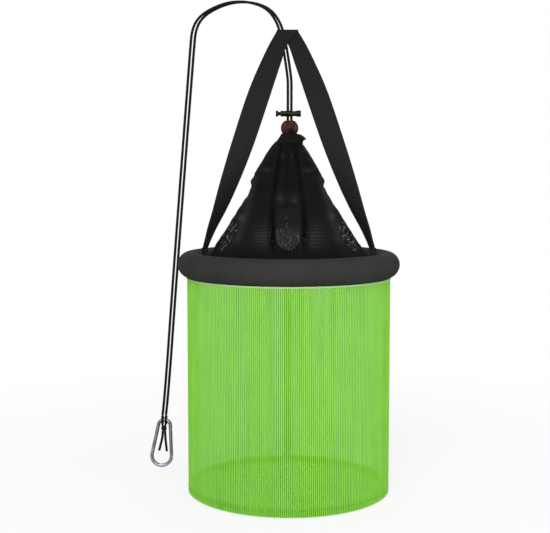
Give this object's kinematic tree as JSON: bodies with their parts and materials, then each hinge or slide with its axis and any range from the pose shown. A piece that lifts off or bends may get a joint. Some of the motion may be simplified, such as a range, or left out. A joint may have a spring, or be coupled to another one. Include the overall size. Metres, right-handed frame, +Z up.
{
  "type": "collapsible keep net",
  "caption": "Round collapsible keep net with a dark foam float, green ribbed wall, black drawstring cover, folded webbing handle, cord lock, bead and snap hook",
  "frame": {"origin": "centre of the float ring, at the waterline, where the float holds the net up", "axes": "+Z up towards the handle, +X to the right along the handle's span, -Y towards the front"},
  "size_m": [0.3028, 0.266, 0.5874],
  "materials": {
    "foam": "matte closed-cell foam",
    "hoop_steel": "satin wire",
    "ferrule_steel": "satin",
    "green_net": "see-through ribbed net",
    "green_tape": "matte woven tape",
    "dark_green_tape": "matte woven tape",
    "black_cloth": "pleated, with a dull sheen",
    "webbing": "ribbed webbing",
    "black_cord": "braided",
    "dark_wood": "glossy",
    "bronze": "dark antique",
    "spring_steel": "drawn wire",
    "hook_metal": "polished"
  },
  "bodies": {
    "net_top": {"float_ring": "foam", "top_hoop": "hoop_steel", "top_hoop_ferrule": "ferrule_steel", "float_sleeve": "black_cloth", "top_tape": "green_tape", "mesh_wall": "green_net", "wall_seam_tape": "green_tape", "strap_anchor_left": "webbing", "strap_anchor_right": "webbing", "cover": "black_cloth", "cover_hem": "black_cloth", "drawstring_loop": "black_cord", "cord_left": "black_cord", "cord_right": "black_cord"},
    "net_base": {"bottom_hoop": "hoop_steel", "bottom_hoop_ferrule": "ferrule_steel", "bottom_binding": "dark_green_tape", "base_mesh": "green_net"},
    "handle": {"handle_strap": "webbing"},
    "bead_body": {"bead": "dark_wood"},
    "cord_lock": {"toggle_barrel": "bronze", "toggle_spring": "spring_steel"},
    "lock_plunger": {"toggle_plunger": "bronze"},
    "snap_hook": {"hook_frame": "hook_metal", "gate_pin": "hook_metal", "cord_wraps": "black_cord", "cord_knot": "black_cord", "cord_tail_left": "black_cord", "cord_tail_right": "black_cord"},
    "hook_gate_body": {"hook_gate": "hook_metal", "gate_spring": "spring_steel"}
  },
  "joints": [
    {"name": "net_collapse", "type": "slide", "parent": "net_top", "child": "net_base", "axis": [0, 0, 1], "range_m": [0, 0.205], "deforming": ["mesh_wall", "wall_seam_tape"]},
    {"name": "handle_fold", "type": "hinge", "parent": "net_top", "child": "handle", "pos_m": [0, 0, 0.02], "axis": [1, 0, 0], "range_deg": [0, 75]},
    {"name": "toggle_slide", "type": "slide", "parent": "net_top", "child": "cord_lock", "axis": [0, 0, 1], "range_m": [0, 0.03]},
    {"name": "bead_slide", "type": "slide", "parent": "net_top", "child": "bead_body", "axis": [0, 0, 1], "range_m": [0, 0.004]},
    {"name": "plunger_press", "type": "slide", "parent": "cord_lock", "child": "lock_plunger", "axis": [1, 0, 0], "range_m": [0, 0.0025], "stiffness_N_per_m": 1500, "deforming": ["toggle_spring"]},
    {"name": "hook_swing", "type": "hinge", "parent": "net_top", "child": "snap_hook", "pos_m": [-0.152, 0.006, -0.1926], "axis": [1, 0, 0], "range_deg": [-60, 60]},
    {"name": "gate_open", "type": "hinge", "parent": "snap_hook", "child": "hook_gate_body", "pos_m": [-0.14363, 0.006, -0.23718], "axis": [0, -1, 0], "range_deg": [0, 20], "stiffness_Nm_per_rad": 0.3}
  ]
}
